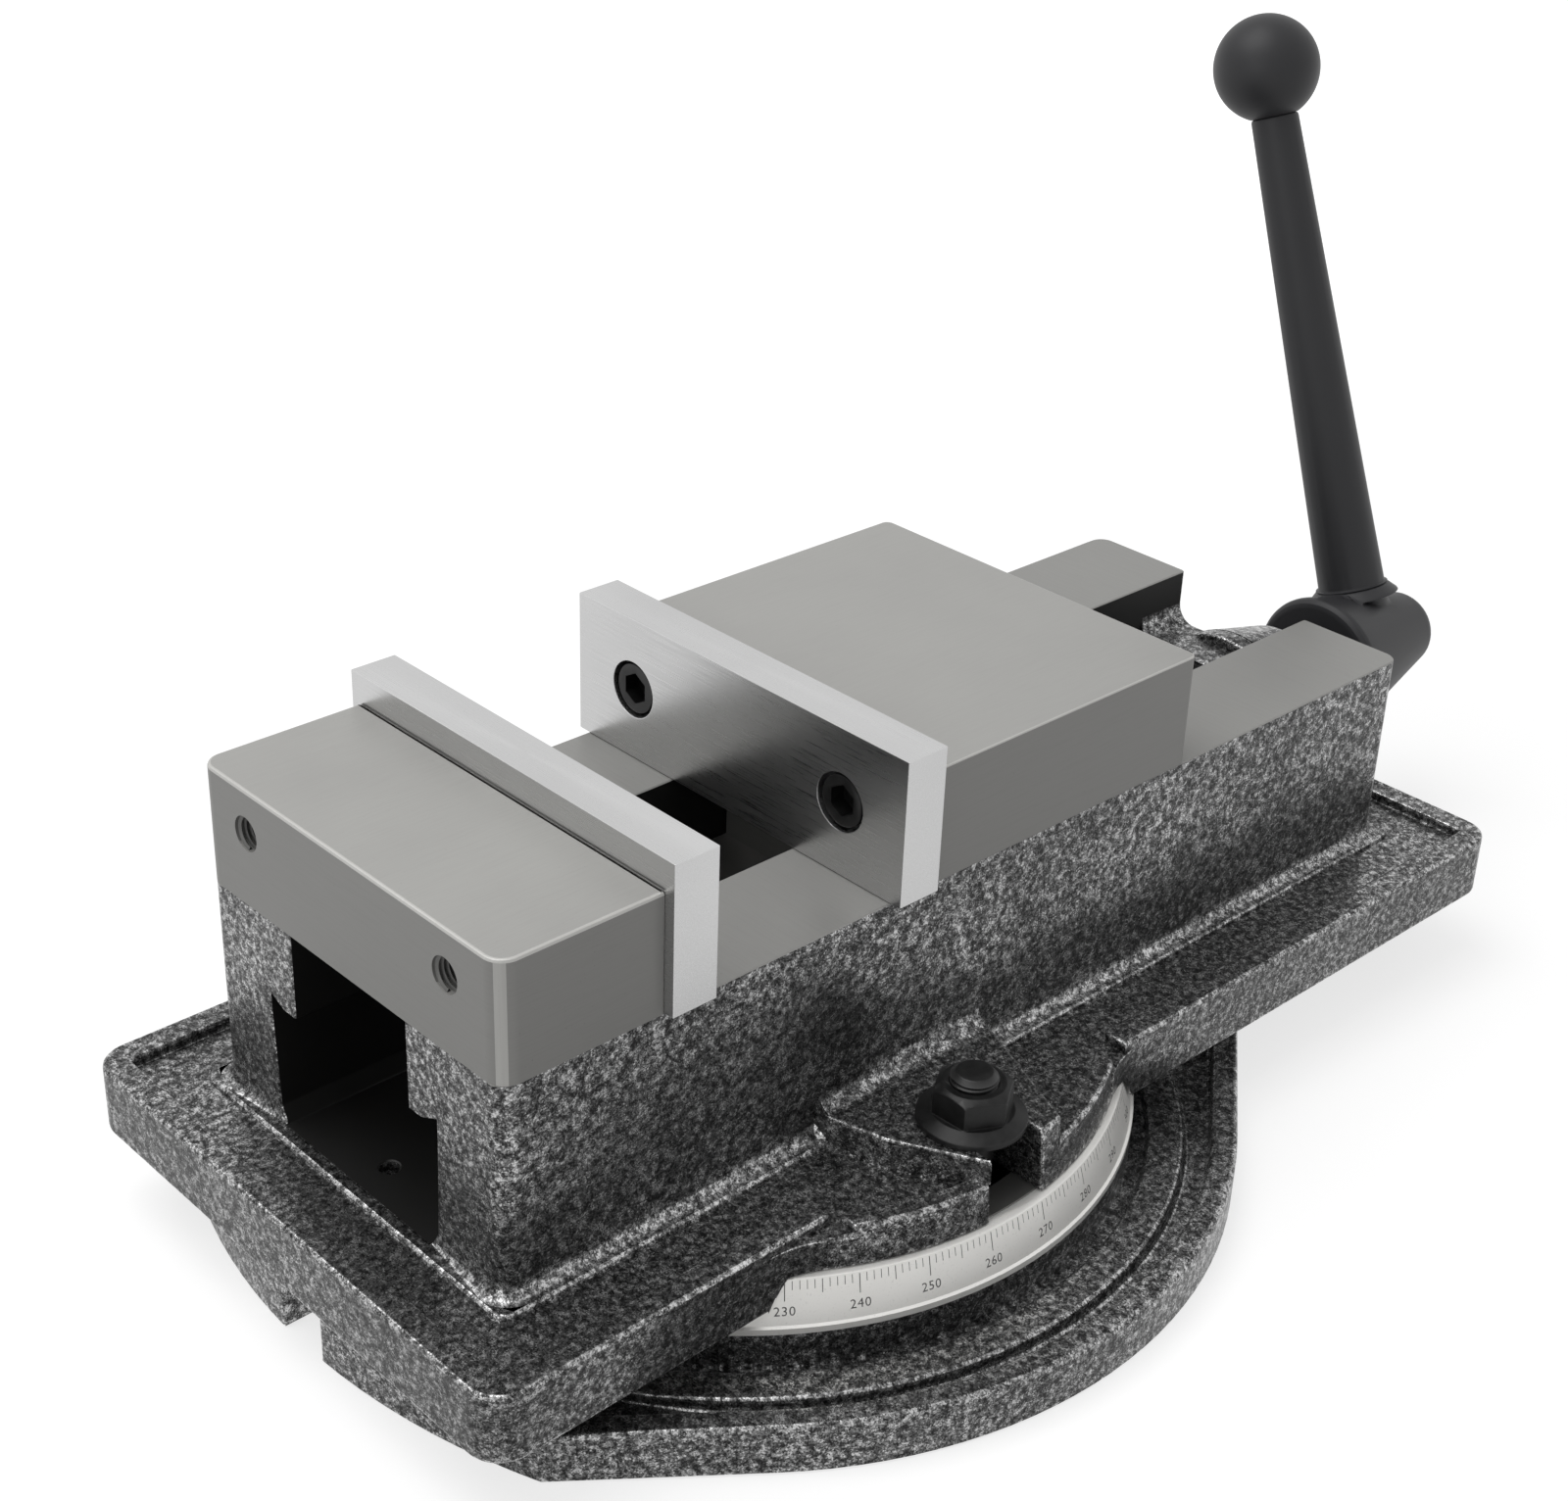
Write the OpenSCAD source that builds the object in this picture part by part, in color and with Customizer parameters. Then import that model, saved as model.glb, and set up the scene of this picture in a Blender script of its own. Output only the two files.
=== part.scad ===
// Swivel machine vise with a 160 mm jaw, a graduated turning base and a crank handle.
// X runs along the lead screw, towards the handle. Z is up.
// The origin is on the swivel axis, at the bottom of the base. Lengths are millimetres.

/* [Jaws] */
// Width of the jaw plates
plate_w = 160; // [140:1:180]
// Thickness of a jaw plate
plate_t = 17.2; // [15:0.1:22]
// Height of a jaw plate
plate_h = 52.5; // [45:0.5:60]
// Width of the fixed jaw
fixed_w = 152; // [140:1:158]
// Length of the fixed jaw, without its plate
fixed_l = 59.6; // [56:0.1:66]
// Width of the movable jaw
movable_w = 151; // [140:1:158]
// Length of the movable jaw, without its plate
movable_l = 130; // [124:1:140]
// Height of both jaws above the ways
jaw_h = 42; // [40:1:50]
// Corner radius at the back of the fixed jaw
jaw_corner_r = 7; // [3:0.5:12]
// Gap between the plates as the vise stands
opening = 77; // [40:1:90]
// Distance between the two screws of a plate
plate_screw_gap = 102; // [80:1:110]

/* [Body] */
// Swivel axis to the back of the body
body_back = 160; // [150:1:180]
// Swivel axis to the front end of the ways
body_front = 271.5; // [268:0.5:290]
// Width over the ways
body_w = 150.4; // [140:0.2:158]
// Height of the ways above the table
way_z = 128; // [124:1:136]
// Vertical corner radius of the body
body_corner_r = 6; // [3:0.5:10]
// Width of the slot between the ways
way_slot_w = 60; // [56:1:64]
// Thickness of the lip of a way
lip_t = 31; // [28:0.5:33]
// Width of the channel under the lips
channel_w = 88; // [84:1:92]
// Height of the channel floor
channel_z = 51.5; // [50:0.5:54]
// Thickness of the wall that carries the screw
end_wall_t = 25.5; // [22:0.5:30]
// Height of the top of that wall
end_wall_z = 106; // [104:1:110]
// Radius of the hole in the channel floor
floor_hole_r = 3.4; // [2:0.1:6]

/* [Flange] */
// Swivel axis to the back edge of the flange
flange_back = 191.3; // [186:0.1:200]
// Swivel axis to the front edge of the flange
flange_front = 305; // [295:1:312]
// Width of the flange
flange_w = 220; // [210:1:230]
// Corner radius of the flange
flange_corner_r = 12; // [6:1:20]
// Height of the flange floor
flange_z = 50.5; // [45:0.5:52]
// Width of the raised rim
rim_w = 10; // [5:0.5:12]
// Height of the top of the rim
rim_z = 54.2; // [52:0.1:58]
// Height of the lower edge of the skirt
skirt_z = 29; // [26:0.5:32]
// Thickness of the skirt
skirt_t = 8; // [6:0.5:10]
// Height of the ledge at the foot of the walls
ledge_z = 52; // [48:0.1:55]
// Width of that ledge
ledge_w = 6; // [1.5:0.1:7]
// Where the rim stops behind the clamping lug
rim_gap_back = 61; // [60:1:72]
// Where the rim starts again in front of the lug
rim_gap_front = 79; // [76:1:84]
// Width of the notch between the rim and the bead of a lug
notch_w = 9; // [5:1:12]
// Radius of the web between the side of the flange and the round foot
web_r = 40; // [30:1:50]
// Gap between the skirt and the dial
dial_gap = 0.6; // [0.4:0.1:2]

/* [Clamping lugs] */
// Radius of the round foot under the body
foot_r = 133.5; // [132:0.1:136]
// Draft of the foot, as the radius lost at its top
foot_draft = 2; // [2:0.5:6]
// Height of the bead along the edge of a lug
bead_z = 53.5; // [48.5:0.5:55]
// Height of the pad under a clamping nut
pad_z = 62; // [55:0.5:64]
// How far the clamping bolts stand in front of the swivel axis
clamp_x = 0; // [0:1:8]
// How far the clamping bolts stand to each side
clamp_y = 111; // [104:1:112]
// Radius of the fillet between a wall and the pads
pad_fillet_r = 7; // [3:0.5:9]
// Width of the open slot in a lug
lug_slot_w = 24; // [18:0.5:26]

/* [Swivel base] */
// Radius of the round base
base_r = 177.5; // [175:0.5:182]
// Height of the rim
base_rim_z = 18; // [16:0.5:22]
// Width of the rim
base_rim_w = 9; // [7:0.5:12]
// Height of the shelf inside the rim
shelf_z = 12.5; // [11:0.5:14]
// Width of the shelf
shelf_w = 13; // [10:0.5:15]
// Depth of the gutters beside the shelf
gutter_z = 8; // [7:0.5:10]
// Width of the gutter between dial and shelf
gutter_w = 6; // [4:0.5:8]
// Swivel axis to the end of an ear
ear_x = 184; // [182:0.5:190]
// Radius of the curved end of an ear
ear_end_r = 250; // [200:5:300]
// Direction in which the straight side of an ear leaves the circle
ear_angle = 52; // [48:0.5:56]
// Width of the open bolt slot in an ear
ear_slot_w = 20; // [16:0.5:22]
// Length of that slot
ear_slot_l = 28; // [24:0.5:31]
// Height of the turning face on top of the base
turn_z = 39; // [37:0.5:41]
// Radius of the pivot
pivot_r = 25; // [20:0.5:30]
// Inner and outer radius of the hollow under the base
hollow_in_r = 38; // [36:1:42]
hollow_out_r = 84; // [70:1:86]
// Thickness left above that hollow
hollow_top_t = 12; // [10:0.5:15]

/* [Dial] */
// Radius of the dial at its lower edge
dial_low_r = 140.6; // [138:0.1:143]
// Radius of the dial at its upper edge
dial_top_r = 135.6; // [134.6:0.1:137]
// Height of the lower edge of the dial
dial_z = 21; // [19:0.5:24]
// Radius of the seat of the dial on the base
dial_seat_r = 131; // [129:0.5:132]
// Height of the bead at the lower edge of the dial
dial_bead_h = 2.2; // [1.5:0.1:3]

/* [Round T-slot] */
// Width of the neck
neck_w = 17.6; // [17:0.1:19]
// Width of the head space
head_space_w = 28; // [27:0.5:30]
// Height of the head space
head_space_h = 13; // [12:0.5:15]
// Height of its ceiling
head_ceiling_z = 27; // [25:0.5:29]
// How far inwards of the slot the hole lies where the bolt heads go in
entry_in = 2.5; // [0:0.5:4]

/* [Lead screw] */
// Height of the screw axis
screw_z = 77; // [76:0.5:78]
// Outside radius of the screw
screw_r = 11; // [10:0.5:12]
// How far the screw reaches behind the swivel axis
screw_back = 60; // [58:1:80]
// Radius of the thrust shoulder
shoulder_r = 19; // [17:0.5:20]
// Length of the thrust shoulder
shoulder_l = 10; // [8:0.5:12]
// Outside radius of the thrust races
race_r = 20; // [19:0.5:22]
// Thickness of a thrust race
race_t = 3; // [2.5:0.1:4]
// Radius of a thrust ball
ball_r = 2.9; // [2.4:0.1:3.2]
// Number of thrust balls
ball_count = 12; // [8:1:13]
// Base and tip radius of the cast bearing nose
nose_base_r = 33.5; // [31:0.5:34]
nose_tip_r = 26.5; // [24:0.5:29]
// Swivel axis to the tip of that nose
nose_x = 302; // [298:1:304]
// Radius of the retaining collar
collar_r = 20; // [18:0.5:22]
// Length of the retaining collar
collar_l = 18; // [12:0.5:20]
// Width across the flats of the drive end
drive_flats = 19; // [17:0.5:19]
// Swivel axis to the end of the drive hexagon
drive_x = 372; // [360:1:375]

/* [Drive nut] */
// Length of the nut along the screw
nut_l = 92; // [88:1:94]
// How far the nut starts behind the front face of the movable jaw
nut_offset = 9; // [8:0.5:12]
// Height of the underside of the nut
nut_low_z = 60; // [59:0.5:62]
// Width of the tower that enters the jaw
tower_w = 42; // [38:0.5:43]
// Height of the top of the tower
tower_z = 148; // [144:0.5:150]
// Room left above the tower in the jaw
tower_room = 9; // [6:0.5:10]
// Height of the drafted underside of the nut
nut_draft_h = 16; // [12:0.5:18]
// Lean of the face that pulls the jaw down
lean = 25; // [20:1:30]
// Radius of the half ball between nut and jaw
half_ball_r = 15; // [12:0.5:16]
// How far the half ball lies behind the front face of the jaw
half_ball_x = 36; // [34:0.5:40]
// Height of the centre of the half ball
half_ball_z = 125; // [122:0.5:128]

/* [Handle] */
// Radius of the hub at its inner end
hub_in_r = 30; // [27:0.5:32]
// Radius of the hub at its outer end
hub_out_r = 16.9; // [15:0.1:20]
// Swivel axis to the inner end of the hub
hub_x = 329.5; // [327:0.5:332]
// Length of the tapered part of the hub
hub_l = 60.5; // [56:0.5:64]
// Length of the round nose of the hub
hub_nose = 9.9; // [6:0.1:12]
// Swivel axis to the middle of the arm
arm_x = 364; // [360:1:366]
// Tilt of the arm from upright
arm_tilt = 20.5; // [0:0.5:45]
// Length from the screw axis to the centre of the ball
arm_l = 248; // [220:1:280]
// Radius of the arm where it leaves the screw axis
arm_root_r = 14.7; // [13:0.1:16]
// Radius of the arm at the ball
arm_tip_r = 9.8; // [8:0.1:12]
// Radius of the ball
knob_r = 21.9; // [19:0.1:24]

/* [Fasteners] */
// Radius of the jaw screws
m12_r = 6; // [5:0.5:6]
// Radius of their heads
m12_head_r = 9; // [8.5:0.1:9.5]
// Height of their heads
m12_head_h = 12; // [11:0.5:12]
// Width across the flats of their sockets
m12_socket = 10; // [8:0.5:10]
// Length of the screws of the fixed plate
fixed_screw_l = 50; // [40:1:56]
// Length of the screws of the movable plate
movable_screw_l = 40; // [30:1:42]
// Height of the set screw of the nut above the ways
set_screw_up = 12; // [11:0.5:14]
// Radius of the clamping bolts
m16_r = 8; // [7:0.5:8]
// Width across the flats of the clamping nuts
m16_flats = 24; // [22:0.5:25]
// Height of the clamping nuts
m16_nut_h = 14.5; // [12:0.5:16]
// Radius of the flange of a clamping nut
m16_flange_r = 18.2; // [16:0.1:19]
// Side of the square head of a clamping bolt
t_head_w = 25; // [23:0.5:26]

/* [Fits] */
// Radial clearance of a turning fit
turn_fit = 0.05; // [0.03:0.01:0.08]
// Clearance of sliding faces
slide_fit = 0.3; // [0.2:0.05:0.5]
// Oil film under the movable jaw
film = 0.03; // [0.02:0.01:0.1]
// Clearance of screws in their holes
screw_fit = 0.6; // [0.4:0.1:0.8]

/* [Hidden] */
$fn = 96;
eps = 0.02;
big = 600;

jaw_z = way_z + jaw_h;
plate_low_z = way_z + 0.2;
fixed_face_x = fixed_l - body_back;
fixed_plate_x = fixed_face_x + plate_t;
movable_plate_x = fixed_plate_x + opening;
movable_face_x = movable_plate_x + plate_t;
movable_end_x = movable_face_x + movable_l;
plate_screw_z = way_z + 26.4;
plate_screw_in = 13;

wall_x = body_front - end_wall_t;
lip_z = way_z - lip_t;
way_slot = way_slot_w / 2;
channel = channel_w / 2;
flange_top_gap = 0.3;

pivot_low_z = 5;
clamp_r = norm([clamp_x, clamp_y]);
web_x = sqrt(pow(foot_r + web_r, 2) - pow(flange_w / 2 + web_r, 2));
dial_lean = (dial_low_r - dial_top_r) / (turn_z - 0.6 - dial_z - dial_bead_h);
bolt_top_z = pad_z + m16_nut_h + 4;

bearing_x = wall_x + 16;
shoulder_x = bearing_x - 2 * race_t - 2 * ball_r - 4 * turn_fit - shoulder_l;
cage_x = bearing_x - race_t - ball_r - 2 * turn_fit;
ball_path_r = (screw_r + race_r) / 2;
collar_x = nose_x + slide_fit;
drive_r = drive_flats / sqrt(3);

nut_x = movable_face_x + nut_offset;
set_screw_z = way_z + set_screw_up;
nut_top_z = lip_z - slide_fit;
tongue_z = lip_z + 0.5;
seat_x = movable_face_x + half_ball_x;
tower_end_x = nut_x + nut_l - 10;
pocket_end_x = movable_end_x - 19;

foot_x = [-body_back + 12, fixed_face_x - 11.6];
jaw_bolt_y = (channel + body_w / 2) / 2;
jaw_bolt_seat_z = lip_z + 16;
jaw_bolt_l = way_z + 17 - jaw_bolt_seat_z;
key_l = 14;
key_w = 24;
key_h = 10;
key_x = (foot_x[0] + foot_x[1]) / 2;

// A round bar along X between two stations
module bar_x(from, to, r, z = screw_z, y = 0) {
    translate([from, y, z]) rotate([0, 90, 0]) cylinder(h = to - from, r = r);
}

// A hexagonal bar along X
module hex_x(from, to, flats, z = screw_z, y = 0) {
    translate([from, y, z]) rotate([0, 90, 0]) cylinder(h = to - from, r = flats / sqrt(3), $fn = 6);
}

// A ring along X
module ring_x(from, to, outer, inner) {
    difference() {
        bar_x(from, to, outer);
        bar_x(from - 1, to + 1, inner);
    }
}

// A profile in the XZ plane, pushed out to a width centred on y = 0
module across(width) {
    rotate([90, 0, 0]) translate([0, 0, -width / 2]) linear_extrude(width) children();
}

// A profile in the YZ plane, pushed along X
module along(from, to) {
    translate([from, 0, 0]) rotate([90, 0, 90]) linear_extrude(to - from) children();
}

// A rectangle from two corners, with its back and front corners rounded
module plan(back, front, half_w, back_r, front_r) {
    translate([back + back_r, -half_w]) square([front - front_r - back - back_r, 2 * half_w]);
    translate([back, back_r - half_w]) square([back_r, 2 * (half_w - back_r)]);
    translate([front - front_r, front_r - half_w]) square([front_r, 2 * (half_w - front_r)]);
    for (s = [-1, 1]) {
        translate([back + back_r, s * (half_w - back_r)]) circle(back_r);
        translate([front - front_r, s * (half_w - front_r)]) circle(front_r);
    }
}

// Everything on the near side of a line at a distance from the origin
module half_plane(angle, distance) {
    rotate(angle) translate([distance - big, -big / 2]) square([big, big]);
}

// A socket head screw, head up, with the underside of its head at z = 0
module socket_screw(length) {
    difference() {
        union() {
            cylinder(h = m12_head_h, r = m12_head_r);
            translate([0, 0, -length]) cylinder(h = length + eps, r = m12_r - turn_fit);
        }
        translate([0, 0, m12_head_h / 2]) cylinder(h = m12_head_h, r = m12_socket / sqrt(3), $fn = 6);
    }
}

// Swivel base

// Plan of the base, drawn inside its edge by an inset
module base_plan(inset) {
    circle(base_r - inset);
    for (turn = [0, 180]) {
        rotate(turn) intersection() {
            translate([ear_x - ear_end_r, 0]) circle(ear_end_r - inset);
            half_plane(ear_angle, base_r - inset);
            half_plane(-ear_angle, base_r - inset);
            translate([(base_r - inset) * cos(ear_angle), -base_r]) square([ear_x, 2 * base_r]);
        }
    }
}

module ear_slot(grow) {
    translate([ear_x - ear_slot_l + ear_slot_w / 2, 0]) circle(ear_slot_w / 2 + grow);
    translate([ear_x - ear_slot_l + ear_slot_w / 2, -ear_slot_w / 2 - grow])
        square([ear_slot_l, ear_slot_w + 2 * grow]);
}

// A ring groove cut from a height up to the turning face
module round_groove(middle_r, width, low, high) {
    translate([0, 0, low]) difference() {
        cylinder(h = high - low, r = middle_r + width / 2);
        translate([0, 0, -1]) cylinder(h = high - low + 2, r = middle_r - width / 2);
    }
}

module swivel_base() {
    shelf_in_r = dial_low_r + gutter_w;
    color([0.3, 0.3, 0.31]) difference() {
        union() {
            linear_extrude(base_rim_z) base_plan(0);
            cylinder(h = turn_z, r = dial_seat_r);
            cylinder(h = dial_z, r = dial_low_r);
        }
        translate([0, 0, gutter_z]) linear_extrude(big) difference() {
            base_plan(base_rim_w);
            circle(shelf_in_r + shelf_w);
            for (turn = [0, 180]) rotate(turn) ear_slot(11);
        }
        translate([0, 0, shelf_z]) linear_extrude(base_rim_z) difference() {
            circle(shelf_in_r + shelf_w + eps);
            circle(shelf_in_r - eps);
            for (turn = [0, 180]) rotate(turn) ear_slot(11);
        }
        translate([0, 0, gutter_z]) linear_extrude(base_rim_z) difference() {
            circle(shelf_in_r);
            circle(dial_low_r);
        }
        round_groove(clamp_r, neck_w, head_ceiling_z - 1, turn_z + 1);
        round_groove(clamp_r, head_space_w, head_ceiling_z - head_space_h, head_ceiling_z);
        translate([clamp_r - entry_in, 0, head_ceiling_z - head_space_h])
            cylinder(h = big, r = t_head_w * 0.72);
        translate([0, 0, pivot_low_z]) cylinder(h = big, r = pivot_r);
        round_groove((hollow_in_r + hollow_out_r) / 2, hollow_out_r - hollow_in_r,
            -1, turn_z - hollow_top_t);
        for (turn = [0, 180]) rotate(turn) translate([0, 0, -1]) linear_extrude(big) ear_slot(0);
    }
    // Ribs under the base, from the pivot boss to the rim of the hollow
    color([0.3, 0.3, 0.31]) for (turn = [30:60:330]) {
        rotate(turn) translate([hollow_in_r - 1, -4, 3])
            cube([hollow_out_r - hollow_in_r + 2, 8, turn_z - hollow_top_t - 3 + eps]);
    }
}

module dial_ring() {
    color([0.85, 0.85, 0.83]) rotate_extrude($fn = 180) polygon([
        [dial_seat_r, dial_z], [dial_low_r, dial_z], [dial_low_r, dial_z + dial_bead_h],
        [dial_low_r - 0.9, dial_z + dial_bead_h + 0.6], [dial_top_r, turn_z - 0.6],
        [dial_top_r - 0.6, turn_z - 0.3], [dial_seat_r, turn_z - 0.3]
    ]);
}

module pivot_pin() {
    color("silver") {
        translate([0, 0, pivot_low_z]) cylinder(h = 1.5, r1 = pivot_r - 1.5, r2 = pivot_r);
        translate([0, 0, pivot_low_z + 1.5]) cylinder(h = channel_z - 4 - pivot_low_z, r = pivot_r);
        translate([0, 0, channel_z - 2.5]) cylinder(h = 1.5, r1 = pivot_r, r2 = pivot_r - 1.5);
    }
}

// Vise body

// Half of the channel, seen along the screw: slot, undercut lips, drafted walls and floor
module channel_section() {
    side = [
        [way_slot, way_z + 1], [way_slot, lip_z], [way_slot + 6.5, lip_z],
        [channel, lip_z + 3.5], [channel, lip_z - 4],
        [channel - 1.6, channel_z + 6], [channel - 5, channel_z]
    ];
    last = len(side) - 1;
    polygon(concat(side, [for (i = [last:-1:0]) [-side[i][0], side[i][1]]]));
}

// Pad of a clamping lug, narrow at its open end
module pad_plan() {
    half = body_w / 2;
    over = foot_r + 5;
    polygon([
        [clamp_x - 36, 5 - half], [clamp_x + 43, 5 - half], [clamp_x + 42, -half - 6],
        [clamp_x + 19.5, -over], [clamp_x - 8, -over], [clamp_x - 29.5, -half - 25],
        [clamp_x - 34, -half - 8]
    ]);
}

// The open slot of a lug
module lug_slot() {
    slot_end = clamp_y - 4;
    translate([clamp_x, -slot_end]) circle(lug_slot_w / 2);
    translate([clamp_x - lug_slot_w / 2, -foot_r - 5]) square([lug_slot_w, foot_r + 5 - slot_end]);
}

module flange_plan(inset) {
    plan(inset - flange_back, flange_front - inset, flange_w / 2 - inset,
        max(flange_corner_r - inset, 1), max(flange_corner_r - inset, 1));
}

// Where the flange leaves the lugs free
module rim_gap() {
    translate([-rim_gap_back, -big / 2]) square([rim_gap_back + rim_gap_front, big]);
}

module body_flange() {
    under_z = turn_z + flange_top_gap;
    translate([0, 0, under_z]) linear_extrude(flange_z - under_z) difference() {
        flange_plan(0);
        difference() {
            rim_gap();
            circle(foot_r - 4);
        }
    }
    translate([0, 0, skirt_z]) linear_extrude(flange_z - skirt_z) difference() {
        flange_plan(0);
        flange_plan(skirt_t);
        rim_gap();
    }
    translate([0, 0, flange_z - eps]) linear_extrude(rim_z - flange_z + eps) difference() {
        flange_plan(0);
        flange_plan(rim_w);
        rim_gap();
    }
}

// The webs that round off the four corners between the sides of the flange and the foot
module foot_webs() {
    side = flange_w / 2;
    touch = foot_r / (foot_r + web_r);
    translate([0, 0, skirt_z]) linear_extrude(flange_z - skirt_z) {
        for (sx = [0, 1], sy = [0, 1]) mirror([sx, 0, 0]) mirror([0, sy, 0]) difference() {
            polygon([
                [web_x, side], [web_x * touch, (side + web_r) * touch],
                [web_x * touch * 0.9, (side + web_r) * touch * 0.9], [web_x, side - skirt_t]
            ]);
            translate([web_x, side + web_r]) circle(web_r);
        }
    }
}

// The drafted round foot with its two lugs: floor, bead along the round edge, and pads under the nuts
module body_foot() {
    over = foot_r + 5;
    intersection() {
        translate([0, 0, turn_z]) cylinder(h = pad_z - turn_z, r1 = foot_r, r2 = foot_r - foot_draft);
        translate([0, 0, turn_z]) union() {
            cylinder(h = flange_z - turn_z, r = over);
            for (s = [0, 1]) mirror([0, s, 0]) {
                linear_extrude(bead_z - turn_z) intersection() {
                    difference() {
                        circle(over);
                        circle(foot_r - 8);
                    }
                    translate([2 - rim_gap_back, -over])
                        square([rim_gap_back + rim_gap_front - notch_w - 2, over - flange_w / 2 + rim_w]);
                }
                linear_extrude(pad_z - turn_z) pad_plan();
            }
        }
    }
}

// The fillets along the walls at the back of the pads
module pad_fillets() {
    r = pad_fillet_r;
    for (s = [0, 1]) mirror([0, s, 0]) {
        translate([clamp_x + 41, -body_w / 2, pad_z]) rotate([0, -90, 0]) linear_extrude(75) difference() {
            translate([-1, -r]) square(r + 1);
            translate([r, -r]) circle(r);
        }
    }
}

// What the body is cast as, before machining
module body_casting() {
    half = body_w / 2;
    body_foot();
    body_flange();
    foot_webs();
    pad_fillets();
    translate([0, 0, turn_z]) linear_extrude(ledge_z - turn_z)
        plan(-body_back - ledge_w, body_front + ledge_w, half + ledge_w, body_corner_r, body_corner_r);
    translate([0, 0, turn_z]) linear_extrude(way_z - turn_z)
        plan(-body_back, body_front, half, body_corner_r, body_corner_r);
    translate([body_front - 1, 0, screw_z]) rotate([0, 90, 0])
        cylinder(h = nose_x - body_front + 1, r1 = nose_base_r, r2 = nose_tip_r);
}

// The dip between the ways above the screw wall, with rounded lower corners
module saddle_section() {
    r = 8;
    translate([r - way_slot, end_wall_z]) square([way_slot_w - 2 * r, big]);
    translate([-way_slot, end_wall_z + r]) square([way_slot_w, big]);
    for (s = [-1, 1]) translate([s * (way_slot - r), end_wall_z + r]) circle(r);
}

module vise_body() {
    color([0.32, 0.32, 0.33]) difference() {
        body_casting();
        translate([0, 0, skirt_z - 1]) cylinder(h = turn_z - skirt_z + 1,
            r1 = dial_top_r + dial_gap + (turn_z - skirt_z + 1) * dial_lean, r2 = dial_top_r + dial_gap);
        along(-body_back - 1, wall_x) channel_section();
        difference() {
            along(wall_x - 1, body_front + 1) saddle_section();
            bar_x(body_front - 8, nose_x, nose_base_r);
        }
        bar_x(wall_x - 1, nose_x + 1, screw_r + turn_fit);
        bar_x(wall_x - 1, bearing_x, race_r + turn_fit);
        translate([0, 0, turn_z - 1]) cylinder(h = big, r = pivot_r + turn_fit);
        translate([12 - body_back, 0, turn_z - 1]) cylinder(h = channel_z, r = floor_hole_r);
        for (s = [0, 1]) mirror([0, s, 0]) {
            translate([0, 0, turn_z - 1]) linear_extrude(big) lug_slot();
            for (x = foot_x) translate([x, jaw_bolt_y, skirt_z - 1]) {
                cylinder(h = jaw_bolt_seat_z - skirt_z + 1, r = m12_head_r + screw_fit);
                cylinder(h = big, r = m12_r + screw_fit);
            }
            translate([key_x - key_l / 2, jaw_bolt_y - key_w / 2, way_z - key_h / 2])
                cube([key_l, key_w, key_h]);
        }
    }
}

// Fixed jaw

module fixed_jaw() {
    color([0.68, 0.68, 0.66]) difference() {
        translate([0, 0, way_z]) linear_extrude(jaw_h)
            plan(-body_back, fixed_face_x, fixed_w / 2, jaw_corner_r, 0.5);
        for (s = [-1, 1]) {
            bar_x(-body_back - 1, fixed_face_x + 1, m12_r, plate_screw_z, s * plate_screw_gap / 2);
            for (x = foot_x) translate([x, s * jaw_bolt_y, way_z - 1]) cylinder(h = 20, r = m12_r);
            translate([key_x - key_l / 2, s * jaw_bolt_y - key_w / 2, way_z - key_h / 2])
                cube([key_l, key_w, key_h]);
        }
    }
}

module fixed_jaw_keys() {
    color("dimgray") for (s = [-1, 1]) {
        translate([key_x - key_l / 2, s * jaw_bolt_y - key_w / 2, way_z - key_h / 2])
            cube([key_l, key_w, key_h]);
    }
}

module fixed_jaw_bolts() {
    color([0.15, 0.15, 0.16]) for (s = [-1, 1], x = foot_x) {
        translate([x, s * jaw_bolt_y, jaw_bolt_seat_z]) mirror([0, 0, 1]) socket_screw(jaw_bolt_l);
    }
}

// A jaw plate whose back lies on x = 0 and whose front faces -X
module jaw_plate() {
    difference() {
        translate([-plate_t, -plate_w / 2, plate_low_z]) cube([plate_t, plate_w, plate_h]);
        for (s = [-1, 1]) {
            bar_x(-plate_t - 1, 1, m12_r + screw_fit, plate_screw_z, s * plate_screw_gap / 2);
            bar_x(-plate_t - 1, plate_screw_in - plate_t, m12_head_r + 1.3,
                plate_screw_z, s * plate_screw_gap / 2);
        }
    }
}

// The two screws of a plate, heads towards -X
module plate_screws(length) {
    for (s = [-1, 1]) translate([plate_screw_in - plate_t, s * plate_screw_gap / 2, plate_screw_z])
        rotate([0, -90, 0]) socket_screw(length);
}

module fixed_jaw_plate() {
    color([0.8, 0.8, 0.8]) translate([fixed_face_x, 0, 0]) mirror([1, 0, 0]) jaw_plate();
}

module fixed_plate_screws() {
    color([0.15, 0.15, 0.16]) translate([fixed_face_x, 0, 0]) mirror([1, 0, 0]) plate_screws(fixed_screw_l);
}

// Movable jaw

// The pocket that the tower of the nut stands in, seen from the side
module pocket_section() {
    top_z = tower_z + tower_room;
    gap = 2 / cos(lean);
    polygon([
        [seat_x - (lip_z - 5 - half_ball_z) * tan(lean) - gap, lip_z - 5],
        [seat_x - (top_z - half_ball_z) * tan(lean) - gap, top_z],
        [pocket_end_x, top_z], [pocket_end_x, lip_z - 5]
    ]);
}

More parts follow.
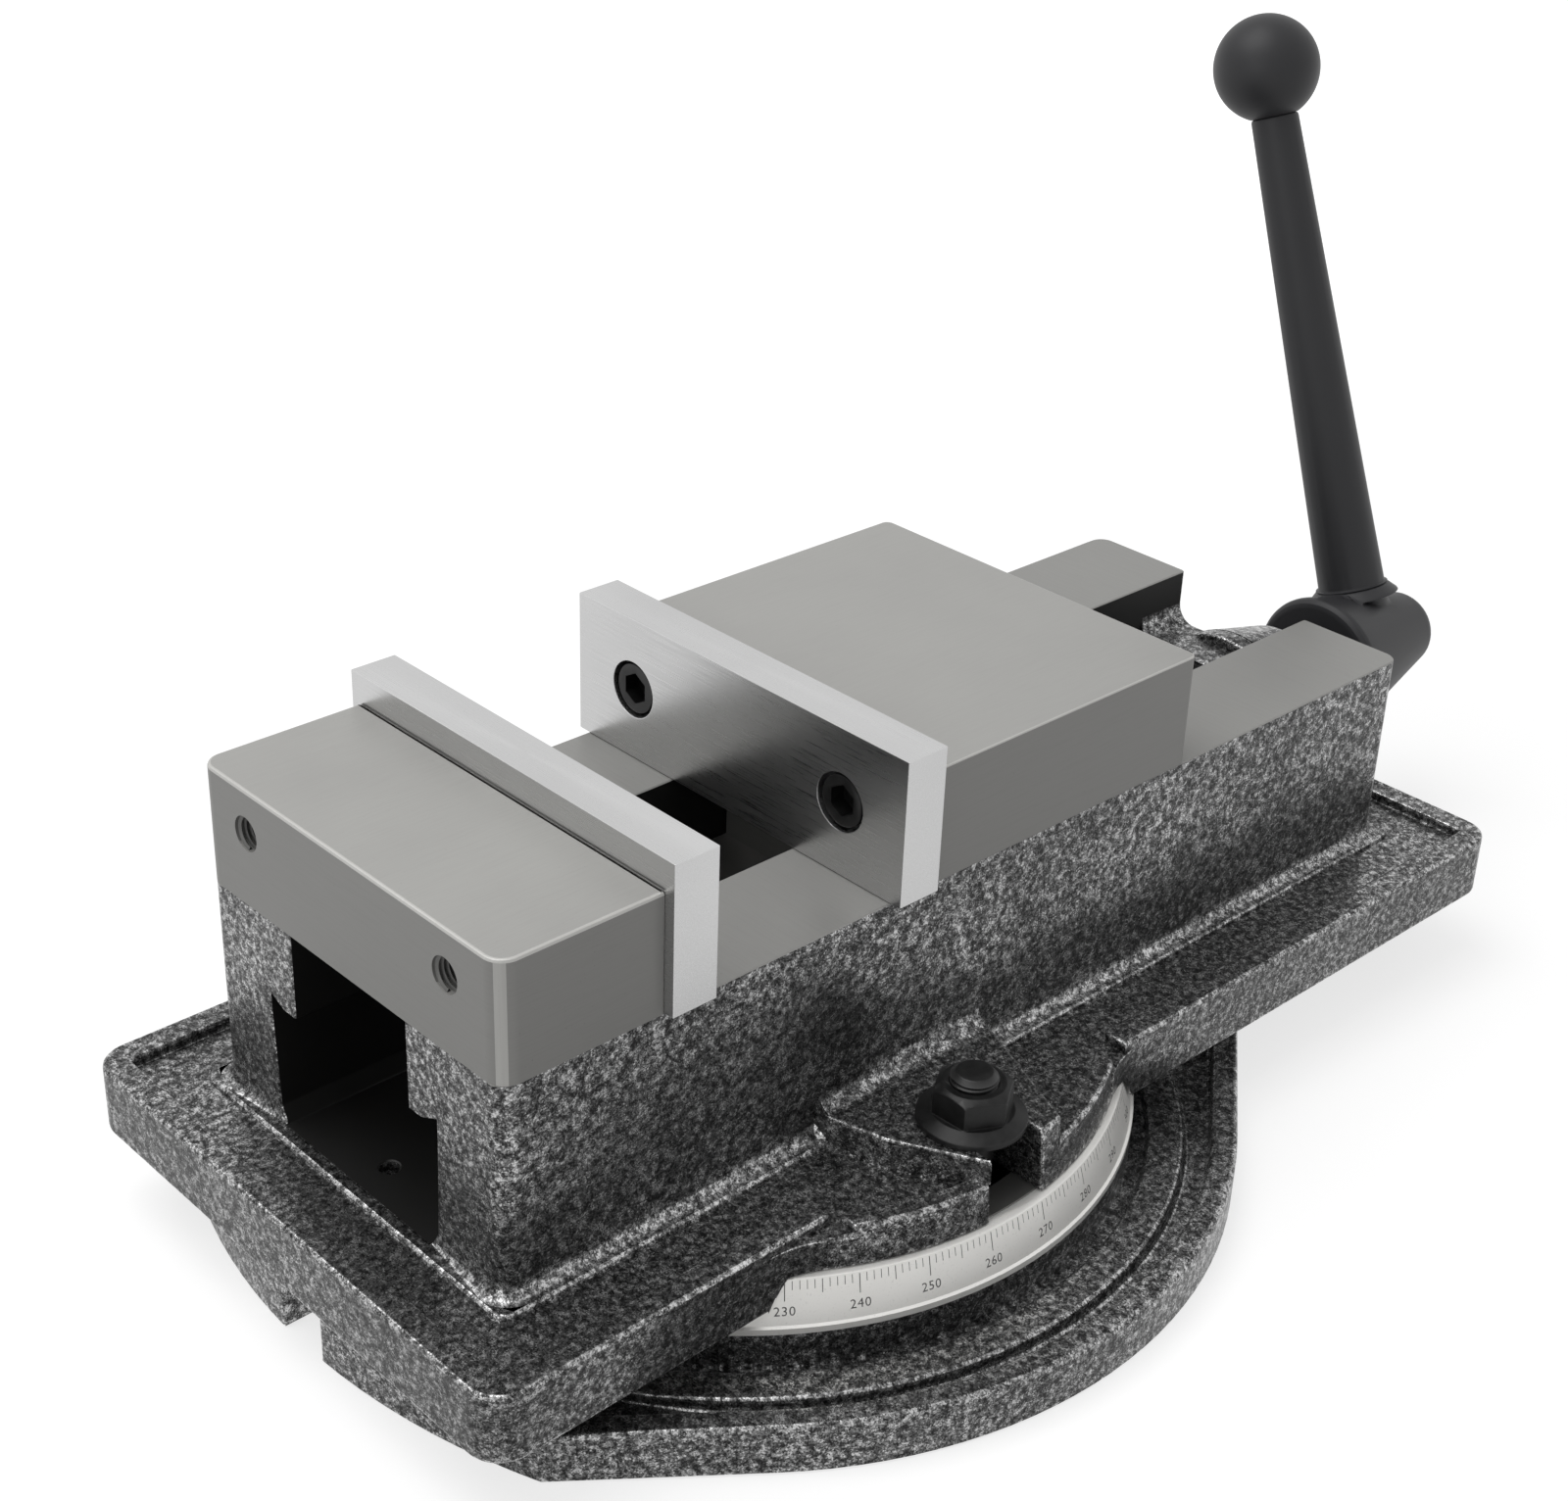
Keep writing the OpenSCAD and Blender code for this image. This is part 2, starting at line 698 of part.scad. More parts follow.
module movable_jaw() {
    tongue_w = way_slot_w - 4 * slide_fit;
    color([0.68, 0.68, 0.66]) difference() {
        union() {
            translate([0, 0, way_z + film]) linear_extrude(jaw_h - film)
                plan(movable_face_x, movable_end_x, movable_w / 2, 0.5, 3);
            translate([movable_face_x + 8, -tongue_w / 2, way_z - 16]) cube([movable_l - 16, tongue_w, 17]);
            translate([movable_face_x + 8, -tongue_w / 2, tongue_z])
                cube([half_ball_x - 4, tongue_w, way_z - tongue_z]);
        }
        across(tower_w + 4) pocket_section();
        translate([seat_x, 0, half_ball_z]) sphere(half_ball_r + turn_fit);
        bar_x(pocket_end_x - 1, movable_end_x + 1, m12_r, set_screw_z);
        for (s = [-1, 1]) {
            bar_x(movable_face_x - 1, movable_face_x + movable_screw_l, m12_r,
                plate_screw_z, s * plate_screw_gap / 2);
        }
    }
}

module movable_jaw_plate() {
    color([0.8, 0.8, 0.8]) translate([movable_face_x, 0, 0]) jaw_plate();
}

module movable_plate_screws() {
    color([0.15, 0.15, 0.16]) translate([movable_face_x, 0, 0]) plate_screws(movable_screw_l);
}

// The face of the tower leans forward over the half ball, so the pull also pushes the jaw down
module drive_nut() {
    low_z = nut_top_z - 4;
    half = channel - 2;
    color([0.4, 0.4, 0.42]) difference() {
        union() {
            along(nut_x, nut_x + nut_l) polygon([
                [6 - half, nut_low_z], [half - 6, nut_low_z],
                [half - 2, nut_low_z + nut_draft_h / 2], [half, nut_low_z + nut_draft_h],
                [half, nut_top_z], [-half, nut_top_z],
                [-half, nut_low_z + nut_draft_h], [2 - half, nut_low_z + nut_draft_h / 2]
            ]);
            across(tower_w) polygon([
                [seat_x - (low_z - half_ball_z) * tan(lean) + turn_fit, low_z],
                [seat_x - (tower_z - half_ball_z) * tan(lean) + turn_fit, tower_z],
                [tower_end_x - 1.5, tower_z], [tower_end_x, tower_z - 1.5], [tower_end_x, low_z]
            ]);
        }
        bar_x(nut_x - 1, nut_x + nut_l + 1, screw_r + turn_fit);
    }
}

module half_ball() {
    color("silver") translate([seat_x, 0, half_ball_z]) rotate([0, -lean, 0]) difference() {
        sphere(half_ball_r);
        translate([0, -big / 2, -big / 2]) cube([big, big, big]);
    }
}

module nut_set_screw() {
    color([0.15, 0.15, 0.16]) difference() {
        bar_x(tower_end_x, movable_end_x - 4, m12_r - turn_fit, set_screw_z);
        hex_x(movable_end_x - 11, movable_end_x, 6, set_screw_z);
    }
}

// Lead screw and its bearing

module lead_screw() {
    color([0.55, 0.55, 0.55]) {
        bar_x(2 - screw_back, collar_x + collar_l + 1, screw_r);
        translate([-screw_back, 0, screw_z]) rotate([0, 90, 0])
            cylinder(h = 2, r1 = screw_r - 2, r2 = screw_r);
        bar_x(shoulder_x, shoulder_x + shoulder_l, shoulder_r);
        intersection() {
            hex_x(collar_x, drive_x, drive_flats);
            union() {
                bar_x(collar_x, drive_x - 2, screw_r + 1);
                translate([drive_x - 2, 0, screw_z]) rotate([0, 90, 0])
                    cylinder(h = 2, r1 = screw_r, r2 = screw_r - 2);
            }
        }
    }
}

module inner_race() {
    start = shoulder_x + shoulder_l;
    color("silver") ring_x(start, start + race_t, shoulder_r, screw_r + 0.02);
}

module ball_cage() {
    color("gold") {
        ring_x(cage_x - 1.2, cage_x + 1.2, race_r - 1.2, screw_r + 1.2);
        for (i = [0:ball_count - 1]) {
            turn = 360 * i / ball_count;
            translate([cage_x, ball_path_r * cos(turn), screw_z + ball_path_r * sin(turn)])
                sphere(ball_r, $fn = 32);
        }
    }
}

module outer_race() {
    color("silver") ring_x(bearing_x - race_t, bearing_x, race_r, screw_r + 0.5);
}

module screw_collar() {
    middle = collar_x + collar_l / 2;
    color([0.2, 0.2, 0.21]) difference() {
        ring_x(collar_x, collar_x + collar_l, collar_r, screw_r);
        translate([middle, 0, screw_z]) cylinder(h = collar_r + 1, r = 4);
    }
}

module collar_set_screw() {
    middle = collar_x + collar_l / 2;
    color([0.15, 0.15, 0.16]) translate([middle, 0, screw_z + screw_r]) difference() {
        cylinder(h = collar_r - screw_r - 1.2, r = 4 - turn_fit);
        translate([0, 0, collar_r - screw_r - 5]) cylinder(h = 5, r = 2.3, $fn = 6);
    }
}

// Handle

// Puts its children on the arm's line, with z = 0 on the screw axis
module on_arm() {
    translate([arm_x, 0, screw_z]) rotate([-arm_tilt, 0, 0]) children();
}

module handle() {
    seat = sqrt(knob_r * knob_r - arm_tip_r * arm_tip_r);
    tip = hub_x + hub_l;
    color([0.2, 0.2, 0.21]) difference() {
        union() {
            translate([hub_x, 0, screw_z]) rotate([0, 90, 0]) rotate_extrude() polygon(concat(
                [[0, 0], [hub_in_r - 3, 0], [hub_in_r - 0.8, 1], [hub_in_r, 3.5], [hub_out_r, hub_l]],
                [for (a = [15:15:90]) [hub_out_r * cos(a), hub_l + hub_nose * sin(a)]]
            ));
            on_arm() cylinder(h = arm_l - seat, r1 = arm_root_r, r2 = arm_tip_r);
            on_arm() translate([0, 0, hub_in_r - 8]) cylinder(h = 5, r1 = arm_root_r + 5, r2 = arm_root_r);
            on_arm() cylinder(h = arm_l - 4, r = arm_tip_r - 4);
        }
        hex_x(hub_x - 1, drive_x + 2, drive_flats + 2 * turn_fit);
    }
}

module handle_ball() {
    seat = sqrt(knob_r * knob_r - arm_tip_r * arm_tip_r);
    color([0.2, 0.2, 0.21]) on_arm() difference() {
        translate([0, 0, arm_l]) sphere(knob_r);
        translate([0, 0, arm_l - seat - 50]) cylinder(h = 50, r = 40);
        cylinder(h = arm_l - 4, r = arm_tip_r - 4);
    }
}

// Clamping bolts and nuts

module clamp_bolts() {
    head_z = head_ceiling_z - head_space_h + 0.6;
    color([0.15, 0.15, 0.16]) for (s = [-1, 1]) translate([clamp_x, s * clamp_y, 0]) {
        rotate(s * atan(clamp_x / clamp_y) * -1) translate([-t_head_w / 2, -t_head_w / 2, head_z])
            cube([t_head_w, t_head_w, head_ceiling_z - slide_fit - head_z]);
        translate([0, 0, head_z]) cylinder(h = bolt_top_z - 1.2 - head_z, r = m16_r);
        translate([0, 0, bolt_top_z - 1.2]) cylinder(h = 1.2, r1 = m16_r, r2 = m16_r - 1.2);
    }
}

// A flanged nut with chamfered corners, standing on the pad
module clamp_nut() {
    corner_r = m16_flats / sqrt(3);
    difference() {
        union() {
            cylinder(h = 2, r = m16_flange_r);
            translate([0, 0, 2]) cylinder(h = 2.4, r1 = m16_flange_r, r2 = corner_r);
            intersection() {
                cylinder(h = m16_nut_h, r = corner_r, $fn = 6);
                union() {
                    cylinder(h = m16_nut_h - 2, r = corner_r);
                    translate([0, 0, m16_nut_h - 2]) cylinder(h = 2, r1 = corner_r, r2 = corner_r - 3.4);
                }
            }
        }
        translate([0, 0, -1]) cylinder(h = m16_nut_h + 2, r = m16_r + turn_fit);
    }
}

module clamp_nut_near() {
    color([0.15, 0.15, 0.16]) translate([clamp_x, -clamp_y, pad_z]) rotate(32) clamp_nut();
}

module clamp_nut_far() {
    color([0.15, 0.15, 0.16]) translate([clamp_x, clamp_y, pad_z]) rotate(32) clamp_nut();
}

swivel_base();
dial_ring();
pivot_pin();
vise_body();
fixed_jaw();
fixed_jaw_keys();
fixed_jaw_bolts();
fixed_jaw_plate();
fixed_plate_screws();
movable_jaw();
movable_jaw_plate();
movable_plate_screws();
drive_nut();
half_ball();
nut_set_screw();
lead_screw();
outer_race();
ball_cage();
inner_race();
screw_collar();
collar_set_screw();
handle();
handle_ball();
clamp_bolts();
clamp_nut_near();
clamp_nut_far();
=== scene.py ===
"""Looks of the swivel machine vise: cast, ground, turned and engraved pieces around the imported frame."""

from math import atan2, hypot, pi, radians

import bmesh
import bpy
from mathutils import Matrix, Vector

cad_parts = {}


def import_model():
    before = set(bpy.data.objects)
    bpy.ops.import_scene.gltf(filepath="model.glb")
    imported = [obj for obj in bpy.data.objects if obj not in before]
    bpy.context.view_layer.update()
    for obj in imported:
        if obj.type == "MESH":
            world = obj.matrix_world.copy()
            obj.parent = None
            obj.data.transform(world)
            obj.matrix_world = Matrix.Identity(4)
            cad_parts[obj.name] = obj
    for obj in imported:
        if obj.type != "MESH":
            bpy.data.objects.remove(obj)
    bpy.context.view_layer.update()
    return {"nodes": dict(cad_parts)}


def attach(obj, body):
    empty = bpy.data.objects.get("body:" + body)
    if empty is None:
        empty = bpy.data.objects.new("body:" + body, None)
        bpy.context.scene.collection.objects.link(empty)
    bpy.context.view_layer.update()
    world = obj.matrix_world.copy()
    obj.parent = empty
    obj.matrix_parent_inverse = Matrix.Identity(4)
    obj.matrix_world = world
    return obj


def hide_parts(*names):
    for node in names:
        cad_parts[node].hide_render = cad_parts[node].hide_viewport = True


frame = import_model()

MM = 0.001

# Sizes of the part that the new pieces meet, in millimetres
WAY_Z = 128
LEDGE_Z = 52
FLANGE_FLOOR_Z = 50.5
TURN_Z = 39
PAD_Z = 62
WALL_X = 246
WALL_FOOT_Y = 75.2
CHANNEL_HALF = 45
CHANNEL_FLOOR_Z = 51.5
RIM_Y = 100
RIM_BACK_X = -181.3
RIM_FRONT_X = 295
LUG_BACK_X = -64
LUG_FRONT_X = 75
LUG_ROOT_IN_X = 62
LUG_ROOT_OUT_X = 90
TIP_BACK_X = -31
TIP_FRONT_X = -11.5
FOOT_R = 172
PAD_BACK_X = -34
PAD_FRONT_X = 41
JAW_BACK_X = -160
PLATE_SCREW_Y = 51
PLATE_SCREW_Z = 154.4
PLATE_SCREW_R = 6
PLATE_SCREW_PITCH = 1.75
SCREW_Z = 77
SCREW_R = 11
SCREW_PITCH = 5
SCREW_BACK_X = -60
SHOULDER_X = 240
CLAMP_R = 111
STUD_R = 8
STUD_PITCH = 2
STUD_TOP_Z = 80.5
TURN_FACE_R = 139
SEAT_R = 141
DIAL_LOW = (139.7, 23.8)
DIAL_TOP = (135.6, 38.4)


# Working on meshes by hand


def work_on(obj, mode="OBJECT", kind="FACE"):
    """Makes obj the only selected object and enters a mode with nothing of it selected."""
    if bpy.context.object and bpy.context.object.mode != "OBJECT":
        bpy.ops.object.mode_set(mode="OBJECT")
    bpy.ops.object.select_all(action="DESELECT")
    obj.select_set(True)
    bpy.context.view_layer.objects.active = obj
    if mode == "EDIT":
        bpy.ops.object.mode_set(mode="EDIT")
        bpy.ops.mesh.select_mode(type=kind)
        bpy.ops.mesh.select_all(action="DESELECT")


def leave_edit():
    bpy.ops.object.mode_set(mode="OBJECT")


def select_faces(obj, rule):
    """Enters edit mode with the faces selected that rule picks by middle in millimetres and normal."""
    work_on(obj, "EDIT")
    leave_edit()
    for face in obj.data.polygons:
        face.select = rule(face.center / MM, face.normal)
    bpy.ops.object.mode_set(mode="EDIT")


def apply_modifier(obj, kind, **settings):
    work_on(obj)
    modifier = obj.modifiers.new(kind.title(), kind)
    for key, value in settings.items():
        setattr(modifier, key, value)
    bpy.ops.object.modifier_apply(modifier=modifier.name)


def block(name, size):
    """A block at the origin, with its size in millimetres in its mesh."""
    bpy.ops.mesh.primitive_cube_add(size=1, scale=[side * MM for side in size])
    obj = bpy.context.object
    obj.name = name
    bpy.ops.object.transform_apply(location=True, rotation=True, scale=True)
    return obj


def placed_copy(obj, place):
    """A copy with its own mesh, moved within that mesh."""
    copy = obj.copy()
    copy.data = obj.data.copy()
    bpy.context.scene.collection.objects.link(copy)
    copy.data.transform(place)
    return copy


def joined(pieces):
    """Joins pieces into the first one."""
    work_on(pieces[0])
    for piece in pieces:
        piece.select_set(True)
    bpy.ops.object.join()
    return pieces[0]


def finish_mesh(obj, angle=32, weighted=True):
    """Smooth shading that keeps flat faces flat and edges crisp."""
    work_on(obj)
    bpy.ops.object.shade_smooth_by_angle(angle=radians(angle))
    if weighted:
        apply_modifier(obj, "WEIGHTED_NORMAL", keep_sharp=True, weight=80)


def copy_of_node(node, name):
    """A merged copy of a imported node, whose edges can be rounded."""
    piece = bpy.data.objects.new(name, frame["nodes"][node].data.copy())
    bpy.context.scene.collection.objects.link(piece)
    piece.data.materials.clear()
    work_on(piece)
    if piece.data.has_custom_normals:
        bpy.ops.mesh.customdata_custom_splitnormals_clear()
    work_on(piece, "EDIT")
    bpy.ops.mesh.select_all(action="SELECT")
    bpy.ops.mesh.remove_doubles(threshold=0.01 * MM)
    bpy.ops.mesh.dissolve_limited(angle_limit=radians(0.3))
    leave_edit()
    return piece


def round_edges(obj, width, rule, segments=2, least=25, convex=None, material=-1):
    """Bevels the edges sharper than least degrees that rule picks by middle in millimetres and direction."""
    work_on(obj, "EDIT", "EDGE")
    mesh = bmesh.from_edit_mesh(obj.data)
    picked = False
    for edge in mesh.edges:
        if len(edge.link_faces) != 2 or edge.calc_face_angle(0) < radians(least):
            continue
        if convex is not None and edge.is_convex != convex:
            continue
        a, b = (v.co / MM for v in edge.verts)
        if rule((a + b) / 2, (b - a).normalized()):
            edge.select_set(True)
            picked = True
    bmesh.update_edit_mesh(obj.data)
    if picked:
        bpy.ops.mesh.bevel(offset=width * MM, segments=segments, profile=0.5, affect="EDGES",
                           clamp_overlap=False, loop_slide=True, material=material)
    leave_edit()


def paint_faces(obj, index, rule):
    """Gives a material slot to the faces that rule picks by middle in millimetres and normal."""
    for face in obj.data.polygons:
        if rule(face.center / MM, face.normal):
            face.material_index = index


def coat(obj, *materials):
    """Gives a piece its materials, the first of them all over."""
    obj.data.materials.clear()
    for material in materials:
        obj.data.materials.append(material)


def add_piece(obj, body, slot, *materials, replaces=()):
    """Gives a finished piece its body, and materials where it has none yet; the slot argument is not used."""
    if materials:
        coat(obj, *materials)
    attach(obj, body)
    if replaces:
        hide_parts(*replaces)
    return obj


def wire(name, points, closed=False):
    """A line through points in millimetres, drawn by extruding one point."""
    first = Vector(points[0]) * MM
    bpy.ops.mesh.primitive_plane_add(size=MM, location=first)
    obj = bpy.context.object
    obj.name = name
    bpy.ops.object.transform_apply(location=True, rotation=True, scale=True)
    work_on(obj, "EDIT", "VERT")
    bpy.ops.mesh.select_all(action="SELECT")
    bpy.ops.mesh.merge(type="CENTER")
    for start, end in zip(points, points[1:]):
        step = (Vector(end) - Vector(start)) * MM
        bpy.ops.mesh.extrude_vertices_move(TRANSFORM_OT_translate={"value": step})
    if closed:
        bpy.ops.mesh.select_all(action="SELECT")
        bpy.ops.mesh.edge_face_add()
    leave_edit()
    return obj


# Materials


class Finish:
    """A procedural material, put together node by node around one shader."""

    def __init__(self, name, **constants):
        self.material = bpy.data.materials.new(name)
        self.material.use_nodes = True
        self.nodes = self.material.node_tree.nodes
        self.links = self.material.node_tree.links
        self.shader = self.nodes["Principled BSDF"]
        for socket, value in constants.items():
            self.shader.inputs[socket.replace("_", " ")].default_value = value
        self.place = self.nodes.new("ShaderNodeTexCoord").outputs["Object"]

    def link(self, source, target):
        self.links.new(source, target)

    def stretched(self, scale):
        node = self.nodes.new("ShaderNodeMapping")
        node.inputs["Scale"].default_value = scale
        self.link(self.place, node.inputs["Vector"])
        return node.outputs["Vector"]

    def noise(self, scale, detail=2, roughness=0.5, where=None):
        node = self.nodes.new("ShaderNodeTexNoise")
        node.inputs["Scale"].default_value = scale
        node.inputs["Detail"].default_value = detail
        node.inputs["Roughness"].default_value = roughness
        self.link(where or self.place, node.inputs["Vector"])
        return node.outputs["Fac"]

    def flecks(self, scale):
        """A chance value for each little cell."""
        node = self.nodes.new("ShaderNodeTexVoronoi")
        node.inputs["Scale"].default_value = scale
        self.link(self.place, node.inputs["Vector"])
        return node.outputs["Color"]

    def ramp(self, source, *stops):
        node = self.nodes.new("ShaderNodeValToRGB")
        ramp = node.color_ramp
        while len(ramp.elements) < len(stops):
            ramp.elements.new(0.5)
        for element, (position, colour) in zip(ramp.elements, stops):
            element.position = position
            if not hasattr(colour, "__len__"):
                colour = (colour, colour, colour)
            element.color = (*colour, 1)
        self.link(source, node.inputs["Fac"])
        return node.outputs["Color"]

    def mix(self, factor, a, b, blend="MIX"):
        node = self.nodes.new("ShaderNodeMix")
        node.data_type = "RGBA"
        node.blend_type = blend
        # Of the node's many sockets, 6 and 7 take the two colours and 2 gives the mixed one
        for source, socket in ((factor, node.inputs[0]), (a, node.inputs[6]), (b, node.inputs[7])):
            if hasattr(source, "is_linked"):
                self.link(source, socket)
            elif hasattr(source, "__len__"):
                socket.default_value = (*source, 1)
            else:
                socket.default_value = source
        return node.outputs[2]

    def span(self, source, low, high, start=0, end=1):
        node = self.nodes.new("ShaderNodeMapRange")
        node.inputs["From Min"].default_value = start
        node.inputs["From Max"].default_value = end
        node.inputs["To Min"].default_value = low
        node.inputs["To Max"].default_value = high
        self.link(source, node.inputs["Value"])
        return node.outputs["Result"]

    def edges(self, low, high):
        """1 on corners that stand out, which a material can make lighter."""
        node = self.nodes.new("ShaderNodeNewGeometry")
        return self.span(node.outputs["Pointiness"], 0, 1, low, high)

    def bump(self, source, strength, distance, under=None):
        node = self.nodes.new("ShaderNodeBump")
        node.inputs["Strength"].default_value = strength
        node.inputs["Distance"].default_value = distance * MM
        self.link(source, node.inputs["Height"])
        if under:
            self.link(under, node.inputs["Normal"])
        return node.outputs["Normal"]

    def set(self, **sources):
        for socket, source in sources.items():
            self.link(source, self.shader.inputs[socket.replace("_", " ")])


def cast_paint(name="cast_paint", light=0.97, highlight_lift=0.0):
    """Hammered grey paint: dark and pale metallic flecks of about half a millimetre over a rough casting. A
    lift above 0 makes every fleck lighter, which the rounded edges use as a painted highlight.
    """
    f = Finish(name, Specular_IOR_Level=0.5, Metallic=0.8)
    coarse = f.flecks(1750)
    fine = f.flecks(3000)
    drift = f.noise(420, 2, 0.5)
    tone = f.mix(0.4, coarse, fine)
    tone = f.mix(0.35, tone, f.span(drift, 0, 1, 0.3, 0.7))
    tone = f.span(tone, highlight_lift, 1 + highlight_lift)
    colour = f.ramp(tone, (0.3, 0.012 * light), (0.46, 0.075 * light),
                    (0.6, 0.21 * light), (0.76, 0.6 * light))
    cloud = f.span(f.noise(14, 3), 0.8, 1.2, 0.3, 0.7)
    colour = f.mix(1.0, colour, cloud, "MULTIPLY")
    normal = f.bump(drift, 0.12, 0.4)
    normal = f.bump(coarse, 0.06, 0.2, normal)
    f.set(Base_Color=colour, Normal=normal, Roughness=f.ramp(tone, (0.4, 0.38), (0.62, 0.26)))
    return f.material


def ground_iron(name="ground_iron", level=0.36, lines=(60, 2600, 60)):
    """Surface ground cast iron: satin, with fine lines left by the wheel."""
    f = Finish(name, Metallic=0.35, Specular_IOR_Level=0.5)
    grain = f.noise(1, 4, 0.6, f.stretched(lines))
    pores = f.noise(900, 3, 0.7)
    cloud = f.noise(9, 4, 0.55)
    colour = f.ramp(cloud, (0.3, (level * 0.93, level * 0.92, level * 0.885)),
                    (0.7, (level * 1.05, level * 1.045, level * 1.0)))
    colour = f.mix(f.span(grain, 0, 0.22, 0.45, 0.75), colour, (level * 0.72, level * 0.7, level * 0.68))
    colour = f.mix(f.span(pores, 0, 0.35, 0.66, 0.74), colour, (level * 0.45, level * 0.44, level * 0.42))
    f.set(Base_Color=colour, Roughness=f.span(cloud, 0.38, 0.52, 0.3, 0.7),
          Normal=f.bump(grain, 0.12, 0.06))
    return f.material


def plate_steel():
    """Hardened jaw plate, ground bright along its length."""
    f = Finish("plate_steel", Metallic=1.0, Anisotropic=0.4)
    grain = f.noise(1, 5, 0.6, f.stretched((2400, 40, 2400)))
    cloud = f.noise(11, 3, 0.5)
    colour = f.ramp(cloud, (0.3, (0.52, 0.52, 0.52)), (0.7, (0.58, 0.58, 0.58)))
    colour = f.mix(f.span(grain, 0, 0.2, 0.5, 0.8), colour, (0.44, 0.44, 0.44))
    f.set(Base_Color=colour, Roughness=f.span(grain, 0.24, 0.36, 0.3, 0.7),
          Normal=f.bump(grain, 0.08, 0.05))
    return f.material


def dial_steel():
    """Satin nickelled dial."""
    f = Finish("dial_steel", Metallic=0.4)
    cloud = f.noise(22, 3, 0.5)
    specks = f.noise(1400, 2, 0.5)
    colour = f.ramp(cloud, (0.3, (0.84, 0.83, 0.8)), (0.7, (0.9, 0.89, 0.86)))
    colour = f.mix(f.span(specks, 0, 0.25, 0.6, 0.75), colour, (0.42, 0.41, 0.39))
    f.set(Base_Color=colour, Roughness=f.span(cloud, 0.3, 0.4), Normal=f.bump(specks, 0.02, 0.02))
    return f.material


def turned_steel():
    """Turned and oiled steel of the screw, the pivot and the bearing."""
    f = Finish("turned_steel", Metallic=0.9)
    rings = f.noise(1, 3, 0.5, f.stretched((1700, 90, 90)))
    cloud = f.noise(40, 3)
    colour = f.ramp(cloud, (0.3, (0.42, 0.41, 0.40)), (0.7, (0.54, 0.53, 0.515)))
    f.set(Base_Color=colour, Roughness=f.span(rings, 0.22, 0.4), Normal=f.bump(rings, 0.1, 0.05))
    return f.material


def nut_iron():
    """Ductile iron of the drive nut, milled and a little stained by oil."""
    f = Finish("nut_iron", Metallic=0.5)
    cloud = f.noise(30, 4)
    colour = f.ramp(cloud, (0.3, (0.17, 0.165, 0.16)), (0.7, (0.28, 0.275, 0.265)))
    grain = f.noise(1, 3, 0.5, f.stretched((200, 1800, 200)))
    f.set(Base_Color=colour, Roughness=f.span(cloud, 0.35, 0.55), Normal=f.bump(grain, 0.12, 0.06))
    return f.material


def black_steel():
    """Blackened steel of screws, bolts and nuts."""
    f = Finish("black_steel", Metallic=0.55, Specular_IOR_Level=0.5)
    cloud = f.noise(260, 4, 0.6)
    # The corners that stand out are lighter than the rest.
    lighter_corners = f.mix(f.edges(0.52, 0.62), f.ramp(cloud, (0.35, 0.005), (0.7, 0.013)), (0.06, 0.06, 0.06))
    f.set(Base_Color=lighter_corners, Roughness=f.span(cloud, 0.32, 0.5), Normal=f.bump(cloud, 0.12, 0.08))
    return f.material


def cage_brass():
    f = Finish("cage_brass", Metallic=1.0)
    cloud = f.noise(120, 3)
    f.set(Base_Color=f.ramp(cloud, (0.3, (0.55, 0.38, 0.14)), (0.7, (0.68, 0.5, 0.2))),
          Roughness=f.span(cloud, 0.25, 0.4))
    return f.material


def handle_paint():
    """Dark grey enamel of the handle, with a faint orange peel."""
    f = Finish("handle_paint", Specular_IOR_Level=0.3)
    peel = f.noise(420, 2, 0.5)
    cloud = f.noise(12, 3)
    colour = f.ramp(cloud, (0.3, (0.018, 0.018, 0.02)), (0.7, (0.025, 0.025, 0.027)))
    f.set(Base_Color=colour, Roughness=f.span(cloud, 0.42, 0.54), Normal=f.bump(peel, 0.1, 0.12))
    return f.material


def mark_black():
    """Black filling of the engraved lines and figures."""
    f = Finish("mark_black")
    cloud = f.noise(700, 3)
    f.set(Base_Color=f.ramp(cloud, (0.3, 0.07), (0.7, 0.2)), Roughness=f.span(cloud, 0.5, 0.7))
    return f.material


PAINT = cast_paint()
# A lighter copy of the paint for the rounded edges and fillets: painted highlight.
PAINT_EDGE_HIGHLIGHT = cast_paint("cast_paint_edge_highlight", 0.98, 0.06)
# A darker copy of the paint for the flange's rim and outer sides: painted shade.
PAINT_RIM_SHADE = cast_paint("cast_paint_rim_shade", 0.72)
IRON = ground_iron()
MILLED = ground_iron("milled_iron", 0.2, (60, 60, 2200))
WAYS = ground_iron("way_iron", 0.28, (2600, 60, 60))
# A lighter iron for the jaws' rounded edges: painted highlight.
IRON_EDGE_HIGHLIGHT = ground_iron("iron_edge_highlight", 0.5)
BORE = ground_iron("bored_iron", 0.12, (1800, 60, 60))
# Near black iron for the inside of the channel: painted shade.
CHANNEL_SHADE = ground_iron("channel_shade_iron", 0.012)
PLATE = plate_steel()
DIAL = dial_steel()
STEEL = turned_steel()
NUT = nut_iron()
BLACK = black_steel()
BRASS = cage_brass()
HANDLE = handle_paint()
MARK = mark_black()


# Castings


def near(value, target, reach=0.4):
    return abs(value - target) < reach


def swivel_base_cast():
    base = copy_of_node("swivel_base", "swivel_base_cast")

    def machined(p, _):
        return hypot(p.x, p.y) < TURN_FACE_R and p.z > 5 or p.z < 0.5

    def cast_edge(p, d):
        return not machined(p, d) and hypot(p.x, p.y) > SEAT_R and p.z > 1

    def bored(c, n):
        return hypot(c.x, c.y) < SEAT_R + 0.5 and c.z > 22 or c.z < 0.8 and n.z < -0.9

    coat(base, PAINT, BORE, PAINT_EDGE_HIGHLIGHT)
    round_edges(base, 0.4, machined, 1)
    # The rounded cast edges take the lighter edge paint: painted highlight.
    round_edges(base, 1.7, cast_edge, 3, material=2)
    paint_faces(base, 1, bored)
    finish_mesh(base)
    return add_piece(base, "base", "cast_paint", replaces=["swivel_base"])


